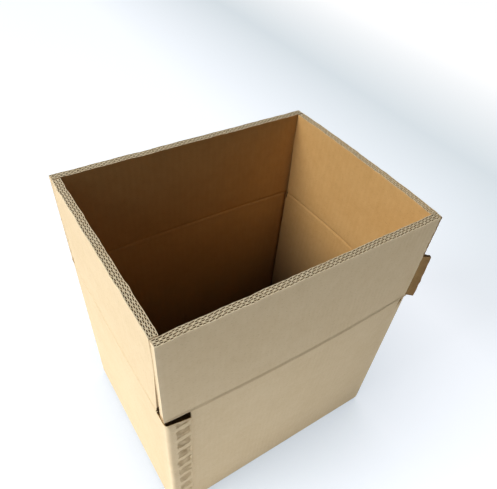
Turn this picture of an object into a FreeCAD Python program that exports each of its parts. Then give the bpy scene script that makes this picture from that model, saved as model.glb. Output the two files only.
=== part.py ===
"""Set-up regular slotted carton of double-wall kraft board, top flaps standing upright.

Millimetres, +Z up, X along the carton's length, front wall towards -Y.
The origin is the middle of the underside.  The walls, the glue tab and the folded
bottom flaps are one sheet; each top flap is a panel of its own beyond its crease.
"""
import os
import re

import FreeCAD, Part
import Sketcher

doc = FreeCAD.newDocument("carton")

# Driving dimensions
SIZES = [
    ("inside_length", 305),
    ("inside_width", 229),
    ("inside_height", 229),
    ("board", 7),
    ("seam", 1.5),
    ("seam_shift", 0.5),
    ("ply_gap", 0.4),
    ("corner_radius", 3),
    ("fold_radius", 4),
    ("short_fold", 3),
    ("crease_gap", 0.3),
    ("crease_groove", 0.8),
    ("side_crease_slope", 20),
    ("slope_run", 4.2),
    ("slot", 7.5),
    ("slot_close", 0.6),
    ("slot_taper", 78),
    ("tab_width", 28),
    ("tab_proud", 3),
    ("tab_foot", 6),
    ("tab_slant", 5),
    ("tab_drop", 4),
    ("tab_edge_radius", 1.6),
    ("notch_depth", 4),
    ("notch_inset", 1.5),
    ("bar_length", 15),
    ("bar_inset", 9),
    ("bar_width", 2.6),
    ("bar_rise", 4.5),
    ("bar_depth", 0.8),
    ("bar_pitch", 6.5),
    ("bar_group", 26),
    ("bars_in_group", 3),
    ("waste_height", 62),
    ("waste_width", 11),
    ("waste_thickness", 4),
    ("waste_lift", 4),
    ("waste_turn", 45),
    ("torn_edge", 4),
    ("liner", 0.7),
    ("medium", 1.2),
    ("fine_layer", 2.2),
    ("fine_pitch", 6.5),
    ("coarse_pitch", 7.8),
    ("flute_depth", 4),
    ("flute_margin", 3),
]

# Sizes that follow from the driving ones
DERIVED = [
    ("outer_length", "=inside_length + 2 * board"),
    ("outer_width", "=inside_width + 2 * board"),
    ("half_length", "=outer_length / 2"),
    ("half_width", "=outer_width / 2"),
    ("floor_top", "=2 * board + ply_gap"),
    ("crease_level", "=floor_top + inside_height"),
    ("flap_reach", "=(outer_width - seam) / 2"),
    ("rim_level", "=crease_level + flap_reach"),
    ("side_axis", "=half_length - board / 2"),
    ("tab_face", "=half_width + tab_proud"),
    ("coarse_layer", "=board - 3 * liner - fine_layer"),
]

sheet = doc.addObject("Spreadsheet::Sheet", "dims")
for row, (alias, content) in enumerate(SIZES + DERIVED, start=1):
    sheet.set(f"A{row}", str(content))
    sheet.setAlias(f"A{row}", alias)
doc.recompute()


def sized(words):
    """Turn plain size names into an expression that reads them from the sheet."""
    names = {alias for alias, _ in SIZES + DERIVED}
    return re.sub(r"[a-z_]+", lambda word: f"dims.{word[0]}" if word[0] in names else word[0], words)


def origin_plane(body, role):
    return next(item for item in body.Origin.OriginFeatures if item.Role == role)


def outline(body, name, role, lift, loops):
    """Sketch closed loops of corner points on a plane of the body, each corner bound to the sheet."""
    sketch = body.newObject("Sketcher::SketchObject", name)
    sketch.AttachmentSupport = (origin_plane(body, role), [""])
    sketch.MapMode = "FlatFace"
    sketch.setExpression("AttachmentOffset.Base.z", sized(lift))
    for loop in loops:
        first = sketch.GeometryCount
        corners = [(sized(across), sized(up)) for across, up in loop]
        places = [
            FreeCAD.Vector(float(sketch.evalExpression(across)), float(sketch.evalExpression(up)), 0)
            for across, up in corners
        ]
        count = len(corners)
        for index in range(count):
            sketch.addGeometry(Part.LineSegment(places[index], places[(index + 1) % count]))
        for index in range(count):
            following = first + (index + 1) % count
            sketch.addConstraint(Sketcher.Constraint("Coincident", first + index, 2, following, 1))
        for index, (across, up) in enumerate(corners):
            for kind, text, place in (
                ("DistanceX", across, places[index].x),
                ("DistanceY", up, places[index].y),
            ):
                number = sketch.addConstraint(
                    Sketcher.Constraint(kind, -1, 1, first + index, 1, place)
                )
                sketch.setExpression(f"Constraints[{number}]", text)
    return sketch


def pad(body, name, sketch, length, reverse=False, midplane=False):
    feature = body.newObject("PartDesign::Pad", name)
    feature.Profile = sketch
    feature.Reversed = reverse
    feature.Midplane = midplane
    feature.setExpression("Length", sized(length))
    doc.recompute()
    return feature


def pocket(body, name, sketch, length, reverse=False, midplane=False):
    """Cut a sketched outline out of the body and make sure that something was cut."""
    before = body.Shape.Volume
    feature = body.newObject("PartDesign::Pocket", name)
    feature.Profile = sketch
    feature.Reversed = reverse
    feature.Midplane = midplane
    feature.setExpression("Length", sized(length))
    doc.recompute()
    if not feature.Shape.Volume < before:
        raise RuntimeError(f"{name} cuts nothing")
    return feature


def repeat(body, name, feature, sketch, axis, pitch, count):
    """Repeat a feature along one axis of its sketch at a pitch."""
    pattern = body.newObject("PartDesign::LinearPattern", name)
    pattern.Originals = [feature]
    pattern.Direction = (sketch, [axis])
    pattern.Mode = "Spacing"
    pattern.setExpression("Offset", sized(pitch))
    pattern.setExpression("Occurrences", sized(count))
    body.Tip = pattern
    doc.recompute()
    return pattern


def edges_where(feature, test):
    """Names of a feature's straight edges whose two ends pass the test."""
    names = []
    for number, edge in enumerate(feature.Shape.Edges, start=1):
        if edge.Curve.TypeId == "Part::GeomLine" and test(*(v.Point for v in edge.Vertexes)):
            names.append(f"Edge{number}")
    return names


def near(first, second):
    return abs(first - second) < 0.01


def fillet(body, name, base, edges, radius):
    feature = body.newObject("PartDesign::Fillet", name)
    feature.Base = (base, edges)
    feature.setExpression("Radius", sized(radius))
    body.Tip = feature
    doc.recompute()
    return feature


def chamfer(body, name, base, edges, size):
    feature = body.newObject("PartDesign::Chamfer", name)
    feature.Base = (base, edges)
    feature.setExpression("Size", sized(size))
    body.Tip = feature
    doc.recompute()
    return feature


def box_loop(left, right, low, high):
    return [(left, low), (right, low), (right, high), (left, high)]


def corner_posts_and_walls():
    """Four walls of one folded sheet around an open inside, with rounded vertical folds."""
    body = doc.addObject("PartDesign::Body", "carton_body")
    body.Label = "carton_body"
    plan = outline(
        body, "wall_plan", "XY_Plane", "0",
        [box_loop("-half_length", "half_length", "-half_width", "half_width")],
    )
    block = pad(body, "wall_block", plan, "crease_level - crease_gap / 2")
    upright = edges_where(block, lambda a, b: near(a.x, b.x) and near(a.y, b.y))
    fillet(body, "corner_folds", block, upright, "corner_radius")
    inside = outline(
        body, "inside_plan", "XY_Plane", "crease_level",
        [box_loop(
            "-half_length + board", "half_length - board", "-half_width + board", "half_width - board",
        )],
    )
    pocket(body, "inside", inside, "inside_height")
    return body


def side_wall_tops(body):
    """Lower the two side walls between the corner posts, where the side flaps turn about mid-board.

    Outside the middle of the board the top slopes down, so that a flap can hang below level.
    """
    level = "crease_level - board / 2 - crease_gap"
    slope_start = "half_length - slope_run"
    beyond = "half_length + board"
    drop = "(slope_run + board) * tan(side_crease_slope * 1 deg)"
    inner = "half_length - 2 * board"
    above = "crease_level + board"
    right = [
        (inner, level),
        (slope_start, level),
        (beyond, f"{level} - {drop}"),
        (beyond, above),
        (inner, above),
    ]
    left = [(f"-({across})", up) for across, up in right]
    profile = outline(body, "side_top_profile", "XZ_Plane", "0", [right, left])
    pocket(body, "side_tops", profile, "inside_width", midplane=True)


def folded_bottom(body):
    """Short bottom flaps folded in first, long ones over them, meeting in a seam underneath."""
    level = "board + ply_gap"
    bevel = "short_fold * 0.3"
    right = [
        ("half_length - slot / 2", "-board"),
        ("half_length + board", "-board"),
        ("half_length + board", f"{level} + short_fold"),
        ("half_length", f"{level} + short_fold"),
        (f"half_length - {bevel}", f"{level} + {bevel}"),
        ("half_length - short_fold", level),
        ("half_length - slot / 2", level),
    ]
    left = [(f"-({across})", up) for across, up in right]
    ends = outline(body, "long_flap_ends", "XZ_Plane", "0", [right, left])
    pocket(body, "long_flap_end_cuts", ends, "outer_width + board", midplane=True)
    between = outline(
        body, "ply_gap_profile", "XZ_Plane", "0",
        [box_loop("-half_length - board", "half_length + board", "board", "board + ply_gap")],
    )
    pocket(body, "gap_between_plies", between, "inside_width", midplane=True)
    short_end = "half_length - flap_reach"
    flap_side = "half_width - board - slot / 2"
    well = outline(
        body, "floor_well_plan", "XY_Plane", "floor_top",
        [[
            ("-half_length + board", "-half_width + board"),
            ("half_length - board", "-half_width + board"),
            ("half_length - board", f"-({flap_side})"),
            (short_end, f"-({flap_side})"),
            (short_end, flap_side),
            ("half_length - board", flap_side),
            ("half_length - board", "half_width - board"),
            ("-half_length + board", "half_width - board"),
            ("-half_length + board", flap_side),
            (f"-({short_end})", flap_side),
            (f"-({short_end})", f"-({flap_side})"),
            ("-half_length + board", f"-({flap_side})"),
        ]],
    )
    pocket(body, "floor_well", well, "board + ply_gap")
    seam = outline(
        body, "seam_plan", "XY_Plane", "board + ply_gap",
        [box_loop("-half_length - board", "half_length + board", "seam_shift", "seam_shift + seam")],
    )
    joined = pocket(body, "seam_gap", seam, "board + ply_gap")
    long_folds = edges_where(
        joined,
        lambda a, b: near(abs(a.y), sheet.half_width) and near(a.z, 0) and near(b.z, 0) and near(a.y, b.y),
    )
    fillet(body, "long_bottom_folds", joined, long_folds, "fold_radius")


def glue_tab(body):
    """The left wall's tab, lapped over the outside of the front wall and crushed by the gluer."""
    right = "-half_length + tab_width"
    plan = outline(
        body, "tab_outline", "XZ_Plane", "half_width - corner_radius",
        [[
            ("-half_length", "tab_foot"),
            (right, "tab_foot + tab_slant"),
            (right, "crease_level - tab_drop - tab_slant"),
            ("-half_length", "crease_level - tab_drop"),
        ]],
    )
    tab = pad(body, "glue_tab", plan, "tab_proud + corner_radius")
    face = -sheet.tab_face
    free = edges_where(
        tab,
        lambda a, b: near(a.y, face) and near(b.y, face) and near(a.x, b.x),
    )
    fillet(body, "tab_folds", tab, free, "tab_edge_radius")
    slot_shape = outline(
        body, "tab_slot_outline", "XZ_Plane", "half_width",
        [[
            ("-half_length + notch_inset", "crease_level - tab_drop"),
            (right, "crease_level - tab_drop - tab_slant"),
            (right, "crease_level - crease_groove"),
            ("-half_length + notch_inset", "crease_level"),
        ]],
    )
    pocket(body, "tab_slot", slot_shape, "notch_depth")
    return body


def crush_bars(body):
    """Diagonal bars pressed into the tab in groups, all the way down it."""
    start = "-half_length + bar_inset"
    end = f"{start} + bar_length"
    low = "tab_foot + 2 * tab_slant"
    loops = []
    for step in range(int(sheet.bars_in_group)):
        base = f"{low} + {step} * bar_pitch"
        loops.append([
            (start, base),
            (end, f"{base} + bar_rise"),
            (end, f"{base} + bar_rise + bar_width"),
            (start, f"{base} + bar_width"),
        ])
    marks = outline(body, "bar_outlines", "XZ_Plane", "tab_face", loops)
    group = pocket(body, "bars", marks, "bar_depth")
    repeat(
        body, "bar_groups", group, marks, "V_Axis", "bar_group",
        "floor( ( crease_level - tab_foot - 4 * tab_slant - tab_drop ) / bar_group )",
    )


def crease_line(body, base, test):
    """Open the outer edge of a crease into the shallow groove of a score line."""
    edges = edges_where(base, test)
    chamfer(body, "score_line", base, edges, "crease_groove")


def fluted_edge(body, along, sign, start, length):
    """Cut the open flute ends of both layers into a flap's top edge.

    Each flute leaves one cell on either side of its wavy medium.
    """
    face = "half_width" if along == "x" else "half_length"
    layers = [
        ("fine", "liner", "fine_layer", "fine_pitch"),
        ("coarse", "2 * liner + fine_layer", "coarse_layer", "coarse_pitch"),
    ]
    for name, first_liner, depth, pitch in layers:
        outer = f"{sign}({face} - ({first_liner}))"
        inner = f"{sign}({face} - ({first_liner}) - {depth})"
        wide = f"( {pitch} - 2 * medium )"
        upright = [
            (start, outer),
            (f"{start} + {wide}", outer),
            (f"{start} + {wide} / 2", inner),
        ]
        shift = f"{start} + {pitch} / 2"
        turned = [
            (shift, inner),
            (f"{shift} + {wide}", inner),
            (f"{shift} + {wide} / 2", outer),
        ]
        loops = [upright, turned]
        if along == "y":
            loops = [[(second, first) for first, second in loop] for loop in loops]
        sketch = outline(body, f"{name}_flute_ends", "XY_Plane", "rim_level", loops)
        cells = pocket(body, f"{name}_cells", sketch, "flute_depth")
        repeat(
            body, f"{name}_row", cells, sketch, "H_Axis" if along == "x" else "V_Axis", pitch,
            f"floor( ( {length} - 2 * flute_margin ) / {pitch} )",
        )


def long_flap(name, sign):
    """Front or back flap: as long as the wall it stands on, square-cut ends."""
    body = doc.addObject("PartDesign::Body", name)
    body.Label = name
    front = sign == "-"
    face = outline(
        body, "flap_outline", "XZ_Plane", "half_width" if front else "-half_width",
        [box_loop("-half_length", "half_length", "crease_level + crease_gap / 2", "rim_level")],
    )
    plate = pad(body, "flap_board", face, "board", reverse=front)
    side = -sheet.half_width if front else sheet.half_width
    level = sheet.crease_level + sheet.crease_gap / 2
    edges = edges_where(
        plate,
        lambda a, b: near(a.y, side) and near(b.y, side) and near(a.z, level) and near(b.z, level),
    )
    chamfer(body, "score_line", plate, edges, "crease_groove")
    return body


def slot_waste(body):
    """Strip of slot waste still hanging on the front flap's right end, turned out of line."""
    reach = f"waste_width * cos( waste_turn * 1 deg )"
    skew = f"waste_width * sin( waste_turn * 1 deg )"
    thick = f"waste_thickness / cos( waste_turn * 1 deg )"
    plan = outline(
        body, "waste_plan", "XY_Plane", "crease_level + waste_lift",
        [[
            ("half_length - waste_thickness", "-half_width"),
            ("half_length", "-half_width"),
            (f"half_length + {reach}", f"-half_width - {skew}"),
            (f"half_length + {reach}", f"-half_width - {skew} + {thick}"),
            ("half_length", f"-half_width + {thick}"),
            ("half_length - waste_thickness", f"-half_width + {thick}"),
        ]],
    )
    pad(body, "slot_waste", plan, "waste_height")
    torn = outline(
        body, "torn_edge_plan", "XY_Plane", "rim_level",
        [[
            ("half_length - torn_edge", "-half_width"),
            ("half_length", "-half_width - 1"),
            ("half_length + 1", "-half_width - 1"),
            ("half_length + 1", "-half_width + board - liner"),
            ("half_length", "-half_width + board - liner"),
        ]],
    )
    pocket(body, "torn_edge", torn, "flap_reach - waste_lift - waste_height")


def side_flap(name, sign):
    """Left or right flap: stands between the long flaps, its lower corners cut back by the slots."""
    body = doc.addObject("PartDesign::Body", name)
    body.Label = name
    left = sign == "-"
    foot = "crease_level - board / 2"
    wide = "half_width - board - slot_close"
    narrow = "half_width - board - slot"
    shape = outline(
        body, "flap_outline", "YZ_Plane", "-half_length" if left else "half_length",
        [[
            ("-half_width + board + slot", foot),
            (narrow, foot),
            (wide, "crease_level + slot_taper"),
            (wide, "rim_level"),
            ("-half_width + board + slot_close", "rim_level"),
            ("-half_width + board + slot_close", "crease_level + slot_taper"),
        ]],
    )
    plate = pad(body, "flap_board", shape, "board", reverse=not left)
    level = sheet.crease_level - sheet.board / 2
    edges = edges_where(
        plate,
        lambda a, b: near(a.z, level) and near(b.z, level) and near(a.x, b.x),
    )
    fillet(body, "crease_round", plate, edges, "board * 0.45")
    return body


carton = corner_posts_and_walls()
side_wall_tops(carton)
folded_bottom(carton)
glue_tab(carton)
crush_bars(carton)

front_flap = long_flap("front_flap", "-")
slot_waste(front_flap)
fluted_edge(front_flap, "x", "-", "-half_length + flute_margin", "outer_length")
back_flap = long_flap("back_flap", "")
fluted_edge(back_flap, "x", "", "-half_length + flute_margin", "outer_length")
left_flap = side_flap("left_flap", "-")
right_flap = side_flap("right_flap", "")
side_start = "-half_width + board + slot_close + flute_margin"
side_length = "inside_width - 2 * slot_close"
fluted_edge(left_flap, "y", "-", side_start, side_length)
fluted_edge(right_flap, "y", "", side_start, side_length)

doc.recompute()
pieces = [carton, front_flap, back_flap, left_flap, right_flap]
for item in doc.Objects:
    if "Invalid" in item.State or "Error" in item.State:
        raise RuntimeError(f"{item.Name} failed: {item.State}")
for piece in pieces:
    if piece.Shape.isNull() or not piece.Shape.isValid():
        raise RuntimeError(f"{piece.Label} has no valid shape")

os.makedirs("parts", exist_ok=True)
for piece in pieces:
    piece.Shape.exportStep(f"parts/{piece.Label}.step")
    size = piece.Shape.BoundBox
    print(f"{piece.Label}: {len(piece.Shape.Solids)} solid, {piece.Shape.Volume / 1000:.1f} cm3, "
          f"x {size.XMin:.1f}..{size.XMax:.1f}, y {size.YMin:.1f}..{size.YMax:.1f}, "
          f"z {size.ZMin:.1f}..{size.ZMax:.1f}")
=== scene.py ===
"""A set-up carton of triple-wall kraft board, its four top flaps standing, on a pale table."""

import math

import bpy
import numpy as np
from mathutils import Matrix, Vector


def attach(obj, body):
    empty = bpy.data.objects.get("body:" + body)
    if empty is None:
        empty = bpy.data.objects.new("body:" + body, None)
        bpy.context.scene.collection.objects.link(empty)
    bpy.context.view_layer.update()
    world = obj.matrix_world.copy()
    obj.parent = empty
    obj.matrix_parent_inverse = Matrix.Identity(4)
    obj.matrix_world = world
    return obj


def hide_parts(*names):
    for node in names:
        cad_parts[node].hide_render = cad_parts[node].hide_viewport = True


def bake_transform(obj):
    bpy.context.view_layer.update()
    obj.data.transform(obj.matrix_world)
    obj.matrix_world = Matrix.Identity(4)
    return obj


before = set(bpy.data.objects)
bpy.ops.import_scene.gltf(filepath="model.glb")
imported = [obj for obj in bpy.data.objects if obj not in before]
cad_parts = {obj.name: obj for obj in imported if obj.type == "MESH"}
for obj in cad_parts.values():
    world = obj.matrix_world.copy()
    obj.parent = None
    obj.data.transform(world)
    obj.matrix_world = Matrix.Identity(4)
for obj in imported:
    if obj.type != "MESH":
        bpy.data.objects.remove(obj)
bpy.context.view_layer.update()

# Carton sheet: the walls and the folded bottom of one sheet of triple-wall corrugated board.
# Brown kraft paper is glued over three layers of flutes; the sheet is cut, scored and folded,
# and the scored folds of the bottom are pressed flat under the walls.

HALF_LENGTH = 0.1595
HALF_WIDTH = 0.1215
BOARD = 0.007
CREASE = 0.2434
FLAP = 0.12075
SLOT = 0.0075
CORNER_RADIUS = 0.003
INNER_RADIUS = 0.0022
BAND_BELOW = 0.007
FRONT_BAND = 0.018
NARROW_SLOT = 0.002
POST_STEP = 0.0002
FOLD_NOTCH = 0.004


def ease(t):
    """Go from 0 to 1 without a kink at either end."""
    t = np.clip(t, 0, 1)
    return t * t * (3 - 2 * t)


def uneven(along, up, grain, seed):
    """Smooth hills and hollows of about that size in metres, mostly from -1 to 1, the same on every run."""
    numbers = np.random.default_rng(seed)
    total = 0
    for _ in range(7):
        turn = numbers.uniform(0, 2 * math.pi)
        wave = 2 * math.pi / (grain * numbers.uniform(0.7, 1.7))
        phase = numbers.uniform(0, 2 * math.pi)
        total = total + np.sin((along * math.cos(turn) + up * math.sin(turn)) * wave + phase)
    return total / 3.4


def sprung(points):
    """Bow the walls out at the creases, where the board springs back, and lean the flaps a little."""
    x, y, z = points[..., 0], points[..., 1], points[..., 2]
    below = np.clip(z / CREASE, 0, 1) ** 1.6
    above = 1 - np.clip((z - CREASE) / FLAP, 0, 1)
    height = np.where(z < CREASE, below, above ** 1.4)
    lean = np.clip((z - CREASE) / FLAP, 0, 1)
    across_x = 1 - np.clip(x / HALF_LENGTH, -1, 1) ** 2
    across_y = 1 - np.clip(y / HALF_WIDTH, -1, 1) ** 2
    front = ease((-y - HALF_WIDTH + 0.012) / 0.004)
    back = ease((y - HALF_WIDTH + 0.012) / 0.004)
    right = ease((x - HALF_LENGTH + 0.012) / 0.004) * (across_y > 0)
    left = ease((-x - HALF_LENGTH + 0.012) / 0.004) * (across_y > 0)
    dy = (back * 0.0035 - front * 0.0045) * across_x * height
    dx = (right * 0.0055 - left * 0.001) * across_y * height
    dx = dx + right * (0.003 * across_y + 0.0015) * lean
    dy = dy + (back * 0.0018 + front * 0.0006) * lean
    moved = points.copy()
    moved[..., 0] = x + dx
    moved[..., 1] = y + dy
    return moved


def slab(across, up, place, paints=(0, 1, 2), loop=False):
    """One closed sheet of paper or board.

    place(a, b, depth) gives its points: depth is 0 on the outer face and 1 on the inner one.
    paints are the material numbers of the outer face, the inner face and the cut edges.
    """
    a, b = np.meshgrid(across, up, indexing="ij")
    points = np.stack([place(a, b, 0.0), place(a, b, 1.0)])
    count = a.size
    index = np.arange(count).reshape(a.shape)
    flat = np.stack([a, b], -1).reshape(-1, 2)
    first = index if loop else index[:-1]
    second = np.roll(index, -1, axis=0) if loop else index[1:]
    face = np.stack([first[:, :-1], second[:, :-1], second[:, 1:], first[:, 1:]], -1).reshape(-1, 4)
    quads = [face, face[:, ::-1] + count]
    maps = [flat[face], flat[face[:, ::-1]]]
    kinds = [np.full(len(face), paints[0]), np.full(len(face), paints[1])]
    borders = [(first[:, 0], second[:, 0], 0), (second[:, -1], first[:, -1], 0)]
    if not loop:
        borders += [(index[0, 1:], index[0, :-1], 1), (index[-1, :-1], index[-1, 1:], 1)]
    for start, end, axis in borders:
        edge = np.stack([start + count, end + count, end, start], -1)
        run = np.stack([flat[start, axis], flat[end, axis], flat[end, axis], flat[start, axis]], -1)
        deep = np.tile([BOARD, BOARD, 0.0, 0.0], (len(start), 1))
        quads.append(edge)
        maps.append(np.stack([run, deep], -1))
        kinds.append(np.full(len(start), paints[2]))
    return points.reshape(-1, 3), np.concatenate(quads), np.concatenate(maps), np.concatenate(kinds)


def rubbed(points):
    """Share of wear, from 0 to 1: most along the rim and down the upright folds."""
    x, y, z = points.T
    rim = np.exp(-np.abs(z - CREASE - FLAP) / 0.0015)
    fold = np.hypot(np.abs(x) - HALF_LENGTH, np.abs(y) - HALF_WIDTH)
    return np.clip(rim + np.exp(-fold / 0.003), 0, 1)


def paper_piece(name, slabs, papers):
    """Join sheets into one object, with the board's own plan as its map and the wear in an attribute."""
    points, faces, maps, kinds = [], [], [], []
    base = 0
    for sheet in slabs:
        points.append(sheet[0])
        faces.append(sheet[1] + base)
        maps.append(sheet[2])
        kinds.append(sheet[3])
        base += len(sheet[0])
    points = sprung(np.concatenate(points))
    faces = np.concatenate(faces)
    mesh = bpy.data.meshes.new(name)
    mesh.from_pydata(points.tolist(), [], faces.tolist())
    plan = mesh.uv_layers.new(name="board_plan")
    plan.data.foreach_set("uv", np.concatenate(maps).reshape(-1).astype(np.float32))
    mesh.polygons.foreach_set("material_index", np.concatenate(kinds).astype(np.int32))
    mesh.polygons.foreach_set("use_smooth", np.ones(len(faces), bool))
    wear = mesh.attributes.new("wear", "FLOAT", "POINT")
    wear.data.foreach_set("value", rubbed(points).astype(np.float32))
    for paper in papers:
        mesh.materials.append(paper)
    mesh.validate()
    mesh.set_sharp_from_angle(angle=math.radians(38))
    piece = bpy.data.objects.new(name, mesh)
    bpy.context.scene.collection.objects.link(piece)
    return piece


def linear(code):
    """A colour written as an sRGB hex value, as the linear colour that a shader takes."""
    parts = [int(code[i:i + 2], 16) / 255 for i in (1, 3, 5)]
    return [p / 12.92 if p <= 0.04045 else ((p + 0.055) / 1.055) ** 2.4 for p in parts] + [1.0]


def add_node(material, kind, inputs=None, **settings):
    """Add one node, with its settings and with its inputs set or linked."""
    tree = material.node_tree
    node = tree.nodes.new(kind)
    for name, value in settings.items():
        setattr(node, name, value)
    for socket, value in (inputs or {}).items():
        if isinstance(value, bpy.types.NodeSocket):
            tree.links.new(value, node.inputs[socket])
        else:
            node.inputs[socket].default_value = value
    return node


def kraft_paper(name, tone, pale, dark, flute_pitch, roughness=0.82, washboard=1.0, painted_low_shade=0.0):
    """Unbleached kraft liner as it comes off the paper machine, dull and fibrous.

    It gives the eye a warm brown with soft clouds, short level fibres, a few dark slivers of bark,
    and the faint upright stripes of the flutes glued behind it.
    """
    paper = bpy.data.materials.new(name)
    paper.use_nodes = True
    shader = paper.node_tree.nodes["Principled BSDF"]
    plan = add_node(paper, "ShaderNodeUVMap", uv_map="board_plan").outputs["UV"]
    place = add_node(paper, "ShaderNodeSeparateXYZ", {"Vector": plan})

    # Clouds about 12 mm wide, from how the pulp settles on the wire
    clouds = add_node(paper, "ShaderNodeTexNoise", {"Vector": plan, "Scale": 1 / 0.012, "Detail": 3.0})
    # Patches about 70 mm wide, from handling and damp
    patches = add_node(paper, "ShaderNodeTexNoise", {"Vector": plan, "Scale": 1 / 0.07, "Detail": 2.0})
    # Fibres 3 mm long lie level, across the flutes; real ones are 0.03 mm thick, drawn 0.4 mm to show
    level = add_node(
        paper, "ShaderNodeVectorMath", {0: plan, 1: (1 / 0.003, 1 / 0.0004, 0)}, operation="MULTIPLY",
    )
    fibres = add_node(
        paper, "ShaderNodeTexNoise", {"Vector": level.outputs["Vector"], "Scale": 1.0, "Detail": 2.0},
    )
    # Bark slivers, one to about every 9 mm, 1 mm long and drawn 0.4 mm thick
    stretched = add_node(
        paper, "ShaderNodeVectorMath", {0: plan, 1: (1 / 0.009, 1 / 0.004, 0)}, operation="MULTIPLY",
    )
    slivers = add_node(
        paper, "ShaderNodeTexVoronoi",
        {"Vector": stretched.outputs["Vector"], "Scale": 1.0, "Randomness": 1.0},
        voronoi_dimensions="2D",
    )
    sliver = add_node(
        paper, "ShaderNodeMapRange",
        {"Value": slivers.outputs["Distance"], "From Min": 0.05, "From Max": 0.11,
         "To Min": 1.0, "To Max": 0.0},
    )
    # Stripes at the flutes' own pitch, where the liner sinks a little between their tips
    turns = add_node(
        paper, "ShaderNodeMath", {0: place.outputs["X"], 1: 2 * math.pi / flute_pitch}, operation="MULTIPLY",
    )
    stripes = add_node(paper, "ShaderNodeMath", {0: turns.outputs[0]}, operation="SINE")

    cloudy = add_node(
        paper, "ShaderNodeMix",
        {"Factor": clouds.outputs["Fac"], "A": linear(dark), "B": linear(tone)}, data_type="RGBA",
    )
    patched_share = add_node(
        paper, "ShaderNodeMapRange",
        {"Value": patches.outputs["Fac"], "From Min": 0.35, "From Max": 0.7, "To Min": 0.0, "To Max": 0.2},
    )
    patched = add_node(
        paper, "ShaderNodeMix",
        {"Factor": patched_share.outputs[0], "A": cloudy.outputs["Result"], "B": linear(pale)},
        data_type="RGBA",
    )
    fibre_share = add_node(
        paper, "ShaderNodeMapRange",
        {"Value": fibres.outputs["Fac"], "From Min": 0.5, "From Max": 0.8, "To Min": 0.0, "To Max": 0.5},
    )
    fibrous = add_node(
        paper, "ShaderNodeMix",
        {"Factor": fibre_share.outputs[0], "A": patched.outputs["Result"], "B": linear(pale)},
        data_type="RGBA",
    )
    sliver_share = add_node(
        paper, "ShaderNodeMath", {0: sliver.outputs[0], 1: 0.2}, operation="MULTIPLY",
    )
    barked = add_node(
        paper, "ShaderNodeMix",
        {"Factor": sliver_share.outputs[0], "A": fibrous.outputs["Result"], "B": linear("#6b4a26")},
        data_type="RGBA",
    )
    stripe_share = add_node(
        paper, "ShaderNodeMapRange",
        {"Value": stripes.outputs[0], "From Min": -1.0, "From Max": 1.0,
         "To Min": 0.0, "To Max": 0.10 * washboard},
    )
    striped = add_node(
        paper, "ShaderNodeMix",
        {"Factor": stripe_share.outputs[0], "A": barked.outputs["Result"], "B": linear(dark)},
        data_type="RGBA",
    )
    # Rubbed folds and rims show the paler, looser fibres under the surface
    wear = add_node(paper, "ShaderNodeAttribute", attribute_name="wear")
    rub = add_node(
        paper, "ShaderNodeMath", {0: wear.outputs["Fac"], 1: clouds.outputs["Fac"]}, operation="MULTIPLY",
    )
    worn = add_node(
        paper, "ShaderNodeMix",
        {"Factor": rub.outputs[0], "A": striped.outputs["Result"], "B": linear(pale)}, data_type="RGBA",
    )
    # Painted shade: the paper is darkened towards #55493d low inside the carton, standing in for the deep
    # shade there. Darker paper low inside the carton, where the photograph is nearly black; the cause is
    # not known
    height = add_node(
        paper, "ShaderNodeSeparateXYZ", {"Vector": add_node(paper, "ShaderNodeTexCoord").outputs["Object"]},
    )
    lowered = add_node(
        paper, "ShaderNodeMapRange",
        {"Value": height.outputs["Z"], "From Min": 0.04, "From Max": 0.225,
         "To Min": painted_low_shade, "To Max": 0.0},
    )
    shaded = add_node(
        paper, "ShaderNodeMix",
        {"Factor": lowered.outputs[0], "A": worn.outputs["Result"], "B": linear("#55493d")},
        data_type="RGBA",
    )
    paper.node_tree.links.new(shaded.outputs["Result"], shader.inputs["Base Color"])

    felt = add_node(
        paper, "ShaderNodeBump", {"Height": fibres.outputs["Fac"], "Strength": 0.35, "Distance": 0.0001},
    )
    ribbed = add_node(
        paper, "ShaderNodeBump",
        {"Height": stripes.outputs[0], "Strength": 0.5 * washboard, "Distance": 0.00006,
         "Normal": felt.outputs["Normal"]},
    )
    paper.node_tree.links.new(ribbed.outputs["Normal"], shader.inputs["Normal"])
    shader.inputs["Roughness"].default_value = roughness
    shader.inputs["Specular IOR Level"].default_value = 0.25
    return paper


outside_liner = kraft_paper("kraft_liner_outside", "#d3be99", "#dfccab", "#c8b089", 0.0065)
inside_liner = kraft_paper(
    "kraft_liner_inside", "#cda266", "#d8b077", "#bd9153", 0.0078, washboard=1.4, painted_low_shade=0.7,
)
medium_paper = kraft_paper("fluting_paper", "#a37f4d", "#b4925f", "#8c6a3b", 0.0078, washboard=0.0)
raw_edge = kraft_paper("raw_cut_paper_edge", "#f0dcb2", "#f6e6c4", "#dfc595", 0.0078, 0.95, 0.0)
# Torn brown board: the brown of torn fluting, darkened further as painted shade for open flutes and for the
# slot waste
torn_and_shaded_board = kraft_paper("torn_brown_board_and_painted_shade", "#8a6c42", "#a08254", "#6f5230", 0.0065, 0.92, 0.3)
# Painted shade: a dark brown paper put on faces in the slots and hollows by the glue tab, standing in for
# the shade there
flute_shade_paper = kraft_paper("painted_shade_deep_in_a_flute", "#4a3418", "#5c431f", "#33230f", 0.0065, 0.95, 0.0)


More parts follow.
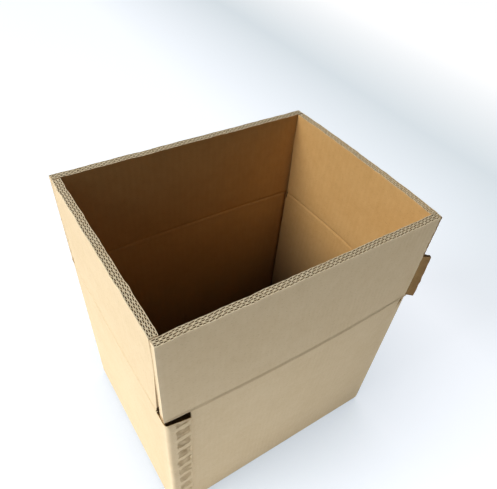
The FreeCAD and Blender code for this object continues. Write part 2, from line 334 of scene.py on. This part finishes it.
def cut_board(name):
    """Board cut along its flutes: four pale liner edges with brown flute paper between, and the flutes'
    hollows painted dark as painted shade.
    """
    edge = bpy.data.materials.new(name)
    edge.use_nodes = True
    shader = edge.node_tree.nodes["Principled BSDF"]
    plan = add_node(edge, "ShaderNodeUVMap", uv_map="board_plan").outputs["UV"]
    place = add_node(edge, "ShaderNodeSeparateXYZ", {"Vector": plan})
    # Four liners 0.5 mm thick, 2.2 mm apart, with the flutes' hollows between them painted dark brown, as
    # painted shade
    layers = add_node(
        edge, "ShaderNodeMath", {0: place.outputs["Y"], 1: 3 / (BOARD - 0.0005)}, operation="MULTIPLY",
    )
    within = add_node(edge, "ShaderNodeMath", {0: layers.outputs[0]}, operation="FRACT")
    ramp = add_node(edge, "ShaderNodeValToRGB", {"Fac": within.outputs[0]})
    stops = [(0.0, "#d9bb88"), (0.22, "#d2b17c"), (0.30, "#6e4d27"), (0.92, "#6e4d27"), (1.0, "#d9bb88")]
    for _ in range(len(stops) - 2):
        ramp.color_ramp.elements.new(0.5)
    for element, (position, code) in zip(ramp.color_ramp.elements, stops):
        element.position = position
        element.color = linear(code)
    # The knife leaves torn fibres about 1.5 mm long across the hollows
    long_way = add_node(
        edge, "ShaderNodeVectorMath", {0: plan, 1: (1 / 0.0015, 1 / 0.0008, 0)}, operation="MULTIPLY",
    )
    fuzz = add_node(
        edge, "ShaderNodeTexNoise", {"Vector": long_way.outputs["Vector"], "Scale": 1.0, "Detail": 3.0},
    )
    share = add_node(
        edge, "ShaderNodeMapRange",
        {"Value": fuzz.outputs["Fac"], "From Min": 0.45, "From Max": 0.65, "To Min": 0.0, "To Max": 0.75},
    )
    mixed = add_node(
        edge, "ShaderNodeMix",
        {"Factor": share.outputs[0], "A": ramp.outputs["Color"], "B": linear("#c9a670")}, data_type="RGBA",
    )
    edge.node_tree.links.new(mixed.outputs["Result"], shader.inputs["Base Color"])
    rough = add_node(
        edge, "ShaderNodeBump", {"Height": fuzz.outputs["Fac"], "Strength": 0.6, "Distance": 0.0003},
    )
    edge.node_tree.links.new(rough.outputs["Normal"], shader.inputs["Normal"])
    shader.inputs["Roughness"].default_value = 0.95
    shader.inputs["Specular IOR Level"].default_value = 0.15
    return edge


cut_edge = cut_board("cut_board_edge")
papers = [outside_liner, inside_liner, cut_edge, medium_paper, raw_edge, torn_and_shaded_board, flute_shade_paper]


def wall_ring():
    """The four walls around, each column with its outer point, inner point, foot and top level."""
    corner_run = []
    for step in range(9):
        turn = math.pi / 2 * step / 8
        corner_run.append((math.sin(turn), 1 - math.cos(turn)))
    outer, inner, foot, top = [], [], [], []

    def column(out, into, low, high):
        outer.append(out)
        inner.append(into)
        foot.append(low)
        top.append(high)

    post_top = CREASE - 0.00015
    side_top = CREASE - 0.0038
    tab_top = CREASE - 0.012
    long_foot = 0.004
    side_foot = 0.0104
    walls = [
        ((1, 0), (0, -1), HALF_LENGTH, HALF_WIDTH, True),
        ((0, 1), (1, 0), HALF_WIDTH, HALF_LENGTH, False),
        ((-1, 0), (0, 1), HALF_LENGTH, HALF_WIDTH, True),
        ((0, -1), (-1, 0), HALF_WIDTH, HALF_LENGTH, False),
    ]
    for number, (along, out, half, away, is_long) in enumerate(walls):
        along, out = np.array(along), np.array(out)
        straight = half - BOARD - INNER_RADIUS
        if is_long:
            band = FRONT_BAND if number == 0 else BAND_BELOW
            stops = [(s, CREASE - band) for s in np.linspace(-straight, straight, 41)]
            stops = [(-straight - POST_STEP, None)] + stops
        else:
            start = -half + BOARD + NARROW_SLOT
            end = half - BOARD - (SLOT if number == 3 else NARROW_SLOT)
            stops = [(-straight, side_top), (start - POST_STEP, side_top)]
            stops += [(s, CREASE - BAND_BELOW - 0.002) for s in np.linspace(start, end, 31)]
            beside = tab_top if number == 3 else side_top
            stops += [(end + POST_STEP, beside), (straight, beside)]
        low = long_foot if is_long else side_foot
        for s, high in stops:
            if high is None:
                high = tab_top if number == 0 else post_top
            column(along * s + out * away, along * s + out * (away - BOARD), low, high)
        pivot = along * (half - CORNER_RADIUS) + out * (away - CORNER_RADIUS)
        small = along * (half - BOARD - INNER_RADIUS) + out * (away - BOARD - INNER_RADIUS)
        high = tab_top if number == 3 else post_top
        for step in range(9):
            turn = math.pi / 2 * step / 8
            way = out * math.cos(turn) + along * math.sin(turn)
            pressed = INNER_RADIUS + FOLD_NOTCH * math.sin(2 * turn) ** 2
            level = low + (side_foot + long_foot - 2 * low) * step / 8
            column(pivot + way * CORNER_RADIUS, small + way * pressed, level, high)
    return np.array(outer), np.array(inner), np.array(foot), np.array(top)


ring_outer, ring_inner, ring_foot, ring_top = wall_ring()
ring_run = np.concatenate([[0], np.cumsum(np.hypot(*np.diff(ring_outer, axis=0).T))])


def on_ring(a, b, depth):
    column = np.searchsorted(ring_run, a - 1e-9)
    plan = ring_outer[column] * (1 - depth) + ring_inner[column] * depth
    level = ring_foot[column] + (ring_top - ring_foot)[column] * b
    return np.concatenate([plan, level[..., None]], -1)


walls = slab(ring_run, np.linspace(0, 1, 25), on_ring, loop=True)
level_map = walls[2].copy()
level_map[..., 1] *= CREASE
levels = walls[0][walls[1]].mean(axis=1)[:, 2]
# Painted shade: the cut top edges under the glue tab's top take the dark flute-hollow paper, standing in for
# the shade in the slot above them
kinds = np.where((walls[3] == 2) & (np.abs(levels - CREASE + 0.012) < 0.001), 6, walls[3])
walls = (walls[0], walls[1], np.where(walls[3][:, None, None] < 2, level_map, walls[2]), kinds)


def folded_flap(reach, half_width, wall_face, foot, level, radius, turned):
    """A bottom flap: from the foot of its wall round the pressed fold and in under the carton."""
    arc = radius * math.pi / 2
    drop = foot - level - radius
    run = np.concatenate([
        [0.0, drop], drop + np.linspace(0, arc, 9)[1:], drop + arc + np.linspace(0, reach - radius, 12)[1:],
    ])

    def place(a, b, depth):
        turn = np.clip((b - drop) / radius, 0, math.pi / 2)
        flat = np.clip(b - drop - arc, 0, None)
        out = radius * np.cos(turn) - radius - flat
        up = level + radius - radius * np.sin(turn) + np.clip(drop - b, 0, None)
        inner_up = np.maximum(up, level + BOARD)
        inner_out = np.minimum(out, -BOARD)
        out = out * (1 - depth) + inner_out * depth
        up = up * (1 - depth) + inner_up * depth
        face = wall_face + out
        if turned == "front":
            return np.stack([a, -face, up], -1)
        if turned == "back":
            return np.stack([-a, face, up], -1)
        if turned == "right":
            return np.stack([face, a, up], -1)
        return np.stack([-face, -a, up], -1)

    return slab(np.linspace(-half_width, half_width, 30), run, place)


bottom = [
    folded_flap(HALF_WIDTH + 0.0005, HALF_LENGTH - SLOT / 2, HALF_WIDTH, 0.004, 0.0, 0.0039, "front"),
    folded_flap(HALF_WIDTH - 0.002, HALF_LENGTH - SLOT / 2, HALF_WIDTH, 0.004, 0.0, 0.0039, "back"),
    folded_flap(FLAP, HALF_WIDTH - BOARD - SLOT / 2, HALF_LENGTH, 0.0104, 0.0074, 0.0029, "right"),
    folded_flap(FLAP, HALF_WIDTH - BOARD - SLOT / 2, HALF_LENGTH, 0.0104, 0.0074, 0.0029, "left"),
]
carton_sheet = paper_piece("carton_sheet", [walls] + bottom, papers)
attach(carton_sheet, "carton")
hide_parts("carton_body")

# Glue tab: the end of the same sheet, lapped over the front wall and glued there.
# The gluing machine crushes it to about 3 mm and leaves groups of slanting bars in the paper.

TAB_WIDTH = 0.028
TAB_PROUD = 0.003
TAB_FOOT = 0.006
TAB_SLANT = 0.005
TAB_DROP = 0.004
BAR_PITCH = 0.0041
BAR_RISE = 0.003
BAR_GROUP = 0.0235


def tab_height(x, z):
    """How far the tab stands proud of the front wall, bars and crushed places included."""
    right = x + HALF_LENGTH
    low = TAB_FOOT + TAB_SLANT * right / TAB_WIDTH
    high = CREASE - TAB_DROP - TAB_SLANT * right / TAB_WIDTH
    proud = ease((TAB_WIDTH - right) / 0.0018) ** 0.7
    proud = proud * np.clip((z - low) / 0.0012, 0, 1) ** 0.5 * (1 - 0.25 * np.exp(-(high - z) / 0.0015))
    step = z - TAB_FOOT - 2 * TAB_SLANT - (right - 0.009) / 0.015 * BAR_RISE
    step = step + 0.0006 * uneven(x, z, 0.012, 13)
    place = np.mod(step, BAR_GROUP)
    bar = (0.5 - 0.5 * np.cos(2 * math.pi * place / BAR_PITCH)) * (place < 4 * BAR_PITCH)
    ragged = 0.0008 * uneven(x * 0, z, 0.007, 14)
    bar = bar * ease((right - 0.0095 - ragged) / 0.0018) * ease((0.0255 + ragged - right) / 0.0018)
    bar = bar * ease((high - 0.002 - z) / 0.002) * ease((z - low - 0.004) / 0.002)
    bar = bar * (1 + 0.45 * uneven(x, z, 0.009, 15))
    crushed = 0.00025 * uneven(x, z, 0.02, 11) + 0.0001 * uneven(x, z, 0.006, 12)
    return TAB_PROUD * proud + (crushed - 0.0016 * bar) * proud


def on_tab(a, b, depth):
    radius = 0.0042
    bend = radius * math.pi / 2
    start = 0.0135
    turn = np.clip((a - start) / radius, 0, math.pi / 2)
    straight = np.clip(a - start - bend, 0, None)
    before = np.clip(start - a, 0, None)
    x = -HALF_LENGTH + radius * (1 - np.cos(turn)) + straight
    low = TAB_FOOT + TAB_SLANT * (x + HALF_LENGTH) / TAB_WIDTH
    high = CREASE - TAB_DROP - TAB_SLANT * (x + HALF_LENGTH) / TAB_WIDTH
    z = low + (high - low) * b
    rise = tab_height(x, z)
    y = -HALF_WIDTH - TAB_PROUD + radius * (1 - np.sin(turn)) + before + (TAB_PROUD - rise) * np.sin(turn)
    skin = 0.0012
    back_x = np.maximum(x, -HALF_LENGTH + skin)
    back_y = np.maximum(y, -HALF_WIDTH - TAB_PROUD + skin + 0.0003)
    back = np.stack([back_x, back_y, z], -1)
    face = np.stack([x - 0.00004 * np.cos(turn), y, z], -1)
    return face * (1 - depth) + back * depth


tab_run = np.concatenate([np.linspace(0, 0.0201, 24), np.linspace(0.0206, 0.0439, 52)])
tab_rows = np.concatenate([[0, 0.002, 0.004, 0.006], np.linspace(0.01, 0.99, 420), [0.994, 0.996, 0.998, 1]])
tab = slab(tab_run, tab_rows, on_tab, (0, 0, 2))
tab[2][..., 1] *= CREASE
glue_tab = paper_piece("glue_tab", [tab], papers)
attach(glue_tab, "carton")

# Top flaps: the four panels beyond the crease, standing, with their flutes open along the rim.
# Each is four liners with three wavy papers glued between them, cut by the die with the rest of the sheet.

LINER = 0.0006
FLUTE_LAYERS = 3
FLUTE_LAYER = (BOARD - (FLUTE_LAYERS + 1) * LINER) / FLUTE_LAYERS
FLUTE_PITCH = 0.0056
STEEPNESS = 1.5
MEDIUM = 0.00055
END_STRIP = 0.0012
BAND_ABOVE = 0.008
SLOT_TAPER = 0.078
SLOT_CLOSE = 0.0006
RIM = CREASE + FLAP
RIM_OPEN = 0.2
TEAR_FOOT = 0.308


def on_side(side, a, deep, z):
    """A point of a wall or flap: a is along it, seen from outside, and deep is in from its outer face."""
    if side == "front":
        return np.stack([a, -HALF_WIDTH + deep, z], -1)
    if side == "back":
        return np.stack([-a, HALF_WIDTH - deep, z], -1)
    if side == "right":
        return np.stack([HALF_LENGTH - deep, a, z], -1)
    return np.stack([-HALF_LENGTH + deep, -a, z], -1)


def opened(z):
    """The cut rim springs open to about 8.4 mm; lower down the board keeps its 7 mm."""
    return 1 + RIM_OPEN * np.exp(-(RIM - z) / 0.03)


def flap_end(side, a, z):
    """How far the flap reaches from its middle towards the end that a is on, at a level.

    The side flaps are cut back beside the slots, widest at the front left where the photograph shows it.
    """
    if side in ("front", "back"):
        return np.full(np.broadcast(a, z).shape, HALF_LENGTH)
    open_share = 1 - np.clip((z - CREASE) / SLOT_TAPER, 0, 1)
    slot = np.where(a < 0, NARROW_SLOT, SLOT if side == "left" else 0.0032)
    return HALF_WIDTH - BOARD * opened(z) - SLOT_CLOSE - (slot - SLOT_CLOSE) * open_share


def flap_slabs(side, seed):
    full = HALF_LENGTH if side in ("front", "back") else HALF_WIDTH - BOARD - SLOT_CLOSE
    base = CREASE + BAND_ABOVE
    edge = full - 0.016

    def squeezed(a, z):
        """Keep the middle as it is and press the last 16 mm into the narrower lower part."""
        past = np.clip(np.abs(a) - edge, 0, None)
        return np.sign(a) * (np.minimum(np.abs(a), edge) + past * (flap_end(side, a, z) - edge) / 0.016)

    def in_board(a, deep, z):
        """A point of the flap, with small knocks along the rim and none lower down."""
        near_rim = np.exp(-(RIM - z) / 0.006)
        push = 0.00035 * uneven(a, a * 0, 0.021, seed) + 0.00012 * uneven(a, a * 0, 0.006, seed + 1)
        return on_side(side, a, deep * opened(z) + push * near_rim, z)

    def torn_back(z):
        """How much of the front flap's outer liner is torn away at its right end."""
        torn = 0.0034 + 0.0006 * uneven(z, z * 0, 0.006, 77) + 0.0007 * uneven(z, z * 0, 0.0022, 78)
        return torn * ease((z - TEAR_FOOT) / 0.002)

    def liner_sheet(number):
        start = number * (LINER + FLUTE_LAYER)

        def place(a, b, depth):
            ragged = 0.00022 * uneven(a, a * 0, 0.007, seed + 10 + number)
            ragged = ragged + 0.00025 * uneven(a, a * 0, 0.04, seed + 2)
            z = b + np.where(b > RIM - 0.004, np.minimum(ragged, 0.0) - 0.0001, 0)
            along = squeezed(a, z)
            if side == "front" and number == 0:
                along = along - torn_back(z) * np.clip((a - full + 0.006) / 0.006, 0, 1)
            return in_board(along, start + LINER * depth, z)

        rows = np.linspace(base, RIM - 0.004, 90 if side == "front" and number == 0 else 8)
        rows = np.concatenate([rows, RIM - 0.0039 + np.linspace(0, 0.0039, 4)])
        reach = full if number in (0, FLUTE_LAYERS) else full - END_STRIP / 2
        across = np.linspace(-reach, reach, int(2 * full / 0.0022))
        paints = (0 if number == 0 else 3, 1 if number == FLUTE_LAYERS else 3, 4)
        return slab(across, rows, place, paints)

    def medium_sheet(number):
        middle = number * (LINER + FLUTE_LAYER) + LINER + FLUTE_LAYER / 2
        swing = (FLUTE_LAYER - MEDIUM) / 2

        def place(a, b, depth):
            drift = 0.05 * uneven(a, a * 0, 0.05, seed + 20 + number)
            turn = 2 * math.pi * (a / FLUTE_PITCH + 0.37 * number + drift)
            wave = swing * np.clip(STEEPNESS * np.sin(turn), -1, 1)
            slope = swing * STEEPNESS * np.cos(turn) * 2 * math.pi / FLUTE_PITCH
            slope = np.where(np.abs(STEEPNESS * np.sin(turn)) < 1, slope, 0)
            across_paper = MEDIUM * (depth - 0.5) / np.hypot(1, slope)
            z = b - np.where(b > RIM - 0.004, 0.0002, 0)
            return in_board(squeezed(a - across_paper * slope, z), middle + wave + across_paper, z)

        inside = full - END_STRIP / 2
        across = np.linspace(-inside, inside, int(2 * full / FLUTE_PITCH * 16) + 1)
        rows = np.concatenate([np.linspace(base, RIM - 0.012, 5), [RIM - 0.004, RIM]])
        return slab(across, rows, place, (3, 3, 4))

    def end_strip(sign):
        """The flap's cut end, where the die crushes the last flute shut."""
        torn = side == "front" and sign > 0

        def place(a, b, depth):
            rough = 0.0002 * uneven(b, depth + a * 0, 0.004, seed + 30) * (np.abs(a) > full - END_STRIP / 2)
            fuzz = 0.0008 * uneven(b, b * 0, 0.0035, 79) * (b > TEAR_FOOT) if torn else 0
            along = squeezed(a, b) - sign * (np.abs(rough) + np.abs(fuzz))
            return in_board(along, 0.0003 + depth * (BOARD - 0.0006), b)

        rows = np.linspace(base, RIM - 0.0004, 90)
        # The torn end takes the torn brown board: the fluting's own brown, darkened as painted shade for its
        # open flutes
        paint = 5 if torn else 0
        ends = np.sort(sign * (full - np.array([END_STRIP * (3.2 if torn else 1), 0.0001])))
        return slab(ends, rows, place, (paint, paint, paint))

    liners = [liner_sheet(number) for number in range(FLUTE_LAYERS + 1)]
    media = [medium_sheet(number) for number in range(FLUTE_LAYERS)]
    return liners + media + [end_strip(-1), end_strip(1)]


for seed, side in enumerate(("front", "back", "left", "right")):
    flap = paper_piece(f"{side}_flap_board", flap_slabs(side, 100 * seed + 5), papers)
    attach(flap, f"{side}_flap")
    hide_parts(f"{side}_flap")

# Creases: the scored bands where the walls turn into the top flaps, the board crushed nearly solid.
# A creasing wheel presses the line in before the sheet is folded.


def crease_slab(side, seed):
    long_side = side in ("front", "back")
    below = BAND_BELOW if long_side else BAND_BELOW + 0.002
    rows = np.concatenate([
        CREASE + np.linspace(-below, -0.0002, 22), CREASE + np.linspace(0.0, BAND_ABOVE, 20),
    ])
    if side == "front":
        rows = np.concatenate([CREASE + np.linspace(-FRONT_BAND, -below, 22)[:-1], rows])

    def place(a, b, depth):
        below_end = HALF_LENGTH - BOARD - INNER_RADIUS if long_side else flap_end(side, a, a * 0 + CREASE)
        along = a * np.where(b >= CREASE, flap_end(side, a, b), below_end)
        wander = 1 + 0.25 * uneven(along, b * 0, 0.03, seed)
        line = np.exp(-((b - CREASE + 0.0002) / 0.0006) ** 2)
        bead = np.exp(-((b - CREASE - 0.0022) / 0.0014) ** 2)
        outer = (0.0020 * line - 0.0011 * bead) * wander
        inner = BOARD - 0.0008 * np.exp(-((b - CREASE) / 0.0018) ** 2) * wander
        if side == "front":
            hollow = behind_tab(along + HALF_LENGTH, b)
            outer = outer * (1 - hollow) + 0.0062 * hollow
        return on_side(side, along, outer * (1 - depth) + inner * depth, b)

    across = np.linspace(-1, 1, 120 if long_side else 80)
    if side == "front":
        across = np.concatenate([np.linspace(-1, -0.8, 100), np.linspace(-0.79, 1, 100)])
    band = slab(across, rows, place)
    band[2][..., 0] = np.where(band[3][:, None] < 2, band[2][..., 0] * HALF_LENGTH, band[2][..., 0])
    if side == "front":
        # Painted shade: in the hollow behind the glue tab the outer faces, and the cut edges beside the tab,
        # take the dark flute-hollow paper
        middles = band[0][band[1]].mean(axis=1)
        inside_slot = behind_tab(middles[:, 0] + HALF_LENGTH, middles[:, 2]) > 0.02
        band[3][inside_slot & (band[3] == 0)] = 6
        by_the_tab = (middles[:, 0] < TAB_WIDTH - HALF_LENGTH) & (middles[:, 2] < CREASE + 0.0003)
        band[3][by_the_tab & (band[3] == 2)] = 6
    if side == "left":
        middles = band[0][band[1]].mean(axis=1)
        # Painted shade: the cut edges at the left band's front end, in the narrow slot, take the dark
        # flute-hollow paper
        band[3][(middles[:, 1] < BOARD + SLOT - HALF_WIDTH + 0.002) & (band[3] == 2)] = 6
    return band


def behind_tab(right, z):
    """1 in the hollow that runs down behind the glue tab from the slot above it, round at its far end."""
    top = CREASE - 0.0007
    past = np.clip(right - TAB_WIDTH + 0.0045, 0, None)
    over = np.clip(z - top + 0.0036, 0, None)
    rounded = np.clip((0.0040 - np.hypot(past, over)) / 0.0005, 0, 1)
    return rounded * np.clip((z - CREASE + FRONT_BAND - 0.001) / 0.0008, 0, 1)


for seed, side in enumerate(("front", "back", "left", "right")):
    crease = paper_piece(f"{side}_crease", [crease_slab(side, 500 + seed)], papers)
    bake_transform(crease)

# Slot waste: a strip of board that the die should have knocked out, left hanging on the front flap's end.
# It is the same board crushed thin, torn along its edges and turned out of line. It takes the torn brown
# board all over, partly its torn paper and partly painted shade on its faces.

WASTE_LOW = CREASE + 0.004
WASTE_HEIGHT = 0.062
WASTE_WIDTH = 0.0105
WASTE_THICK = 0.004


def on_waste(a, b, depth):
    top = 0.0006 * uneven(a, a * 0, 0.01, 61) * (b > 0.5)
    z = WASTE_LOW + WASTE_HEIGHT * b + top * (b - 0.5)
    ragged = 0.00015 * uneven(z, z * 0, 0.007, 62) * a / WASTE_WIDTH
    turn = np.radians(45 - 10 * b)
    run = a + ragged
    crumple = 0.0003 * uneven(a, z, 0.012, 63)
    x = HALF_LENGTH - 0.0025 + run * np.cos(turn) + depth * WASTE_THICK * np.sin(turn) * 0.7
    y = -HALF_WIDTH + 0.0004 - run * np.sin(turn) + depth * WASTE_THICK * np.cos(turn) + crumple
    return np.stack([np.minimum(x, 0.1672), np.maximum(y, -0.1292), z], -1)


strip = slab(np.linspace(0, WASTE_WIDTH, 16), np.linspace(0, 1, 50), on_waste, (0, 0, 1))
strip[2][..., 1] *= np.where(strip[3][:, None] < 1, WASTE_HEIGHT, 1)
# Painted shade: the whole strip takes the dark torn brown board
slot_waste = paper_piece("slot_waste_strip", [strip], [torn_and_shaded_board, torn_and_shaded_board])
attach(slot_waste, "front_flap")

# Table, room and light: a white table with a tall window on the left, a little behind the carton.
# White cards low in front and on the left, and a pale wall in front, give the shaded sides a little light.


def table_paint(name, code, seen_code):
    """Matt white paint. The camera sees it partly as plain paint, so that its shadow stays soft; that plain
    part holds a painted shadow.
    """
    paint = bpy.data.materials.new(name)
    paint.use_nodes = True
    shader = paint.node_tree.nodes["Principled BSDF"]
    shader.inputs["Base Color"].default_value = linear(code)
    shader.inputs["Roughness"].default_value = 0.7
    place = add_node(paint, "ShaderNodeTexCoord").outputs["Object"]
    right = add_node(paint, "ShaderNodeSeparateXYZ", {"Vector": place}).outputs["X"]
    # Painted shadow: greyer about 0.9 m to the right, for the carton's cast shadow, and bluish close around
    # the carton's foot, a painted contact shadow from ambient occlusion
    reach = add_node(paint, "ShaderNodeMapRange", {"Value": right, "From Min": 0.4, "From Max": 1.4})
    tone = add_node(paint, "ShaderNodeValToRGB", {"Fac": reach.outputs[0]})
    tone.color_ramp.elements.new(0.5)
    for element, shade in zip(tone.color_ramp.elements, (seen_code, "#ccd5da", "#ffffff")):
        element.color = linear(shade)
    foot = add_node(paint, "ShaderNodeAmbientOcclusion", {"Distance": 0.25})
    near = add_node(
        paint, "ShaderNodeMix",
        {"Factor": foot.outputs["AO"], "A": linear("#7d919e"), "B": tone.outputs["Color"]}, data_type="RGBA",
    )
    glow = add_node(paint, "ShaderNodeEmission", {"Color": near.outputs["Result"], "Strength": 1.5})
    rays = add_node(paint, "ShaderNodeLightPath")
    mirrored = add_node(
        paint, "ShaderNodeMath", {0: rays.outputs["Is Camera Ray"], 1: rays.outputs["Is Glossy Ray"]},
        operation="MAXIMUM",
    )
    seen = add_node(
        paint, "ShaderNodeMath", {0: mirrored.outputs[0], 1: rays.outputs["Is Transmission Ray"]},
        operation="MAXIMUM",
    )
    share = add_node(paint, "ShaderNodeMath", {0: seen.outputs[0], 1: 0.6}, operation="MULTIPLY")
    both = add_node(
        paint, "ShaderNodeMixShader", {0: share.outputs[0], 1: shader.outputs[0], 2: glow.outputs[0]},
    )
    paint.node_tree.links.new(both.outputs[0], paint.node_tree.nodes["Material Output"].inputs["Surface"])
    return paint


table_mesh = bpy.data.meshes.new("table_top")
table_mesh.from_pydata([(-3, -3, 0), (4, -3, 0), (4, 4, 0), (-3, 4, 0)], [], [(0, 1, 2, 3)])
table_top = bpy.data.objects.new("table_top", table_mesh)
bpy.context.scene.collection.objects.link(table_top)
table_mesh.materials.append(table_paint("white_table_paint", "#f1f4f8", "#f4f8fe"))

room = bpy.data.worlds.new("pale_room")
room.use_nodes = True
bpy.context.scene.world = room
lit = room.node_tree.nodes["Background"]
lit.inputs["Color"].default_value = linear("#eef3fb")
lit.inputs["Strength"].default_value = 0.1
shown = add_node(room, "ShaderNodeBackground", {"Color": linear("#fbfcff"), "Strength": 1.0})
rays = add_node(room, "ShaderNodeLightPath")
mirrored = add_node(
    room, "ShaderNodeMath", {0: rays.outputs["Is Camera Ray"], 1: rays.outputs["Is Glossy Ray"]},
    operation="MAXIMUM",
)
seen = add_node(
    room, "ShaderNodeMath", {0: mirrored.outputs[0], 1: rays.outputs["Is Transmission Ray"]},
    operation="MAXIMUM",
)
choice = add_node(room, "ShaderNodeMixShader", {0: seen.outputs[0], 1: lit.outputs[0], 2: shown.outputs[0]})
room.node_tree.links.new(choice.outputs[0], room.node_tree.nodes["World Output"].inputs["Surface"])


def lamp(name, place, aim, size, power, tint):
    light = bpy.data.lights.new(name, "AREA")
    light.shape = "RECTANGLE"
    light.size, light.size_y = size
    light.energy = power
    light.color = linear(tint)[:3]
    holder = bpy.data.objects.new(name, light)
    holder.location = place
    holder.rotation_euler = (Vector(aim) - Vector(place)).to_track_quat("-Z", "Y").to_euler()
    holder.visible_camera = False
    bpy.context.scene.collection.objects.link(holder)


lamp("window_left", (-2.2, 0.4, 1.75), (0, 0, 0.25), (1.2, 1.5), 80, "#fbfcff")
lamp("white_card_left", (-0.45, 0.0, 0.06), (-0.16, 0, 0.07), (0.5, 0.1), 0.35, "#fffefa")
lamp("white_card_front", (-0.1, -0.62, 0.06), (0, -0.12, 0.1), (1.1, 0.11), 1.5, "#f4f8ff")
lamp("pale_wall_front", (-0.3, -2.0, 0.9), (0, 0, 0.3), (1.5, 0.6), 1.2, "#f8faff")

# Camera: above the front left corner, looking down on the rim as in the photograph.

tilt = math.radians(47.15)
heading = math.radians(37.996)
roll = math.radians(6.45)
ahead = Vector((math.cos(tilt) * math.sin(heading), math.cos(tilt) * math.cos(heading), -math.sin(tilt)))
level_right = Vector((math.cos(heading), -math.sin(heading), 0))
level_up = level_right.cross(ahead)
right = level_right * math.cos(roll) + level_up * math.sin(roll)
up = level_up * math.cos(roll) - level_right * math.sin(roll)
camera_data = bpy.data.cameras.new("camera")
camera_data.sensor_width = 36
camera_data.lens = 34.134
camera_data.shift_x = -0.0045
camera_data.shift_y = 0.0794
camera = bpy.data.objects.new("camera", camera_data)
turned = Matrix((right, up, -ahead)).transposed().to_4x4()
camera.matrix_world = Matrix.Translation((-0.22804, -0.31490, 0.65488)) @ turned
bpy.context.scene.collection.objects.link(camera)
bpy.context.scene.camera = camera
bpy.context.scene.view_settings.view_transform = "Standard"
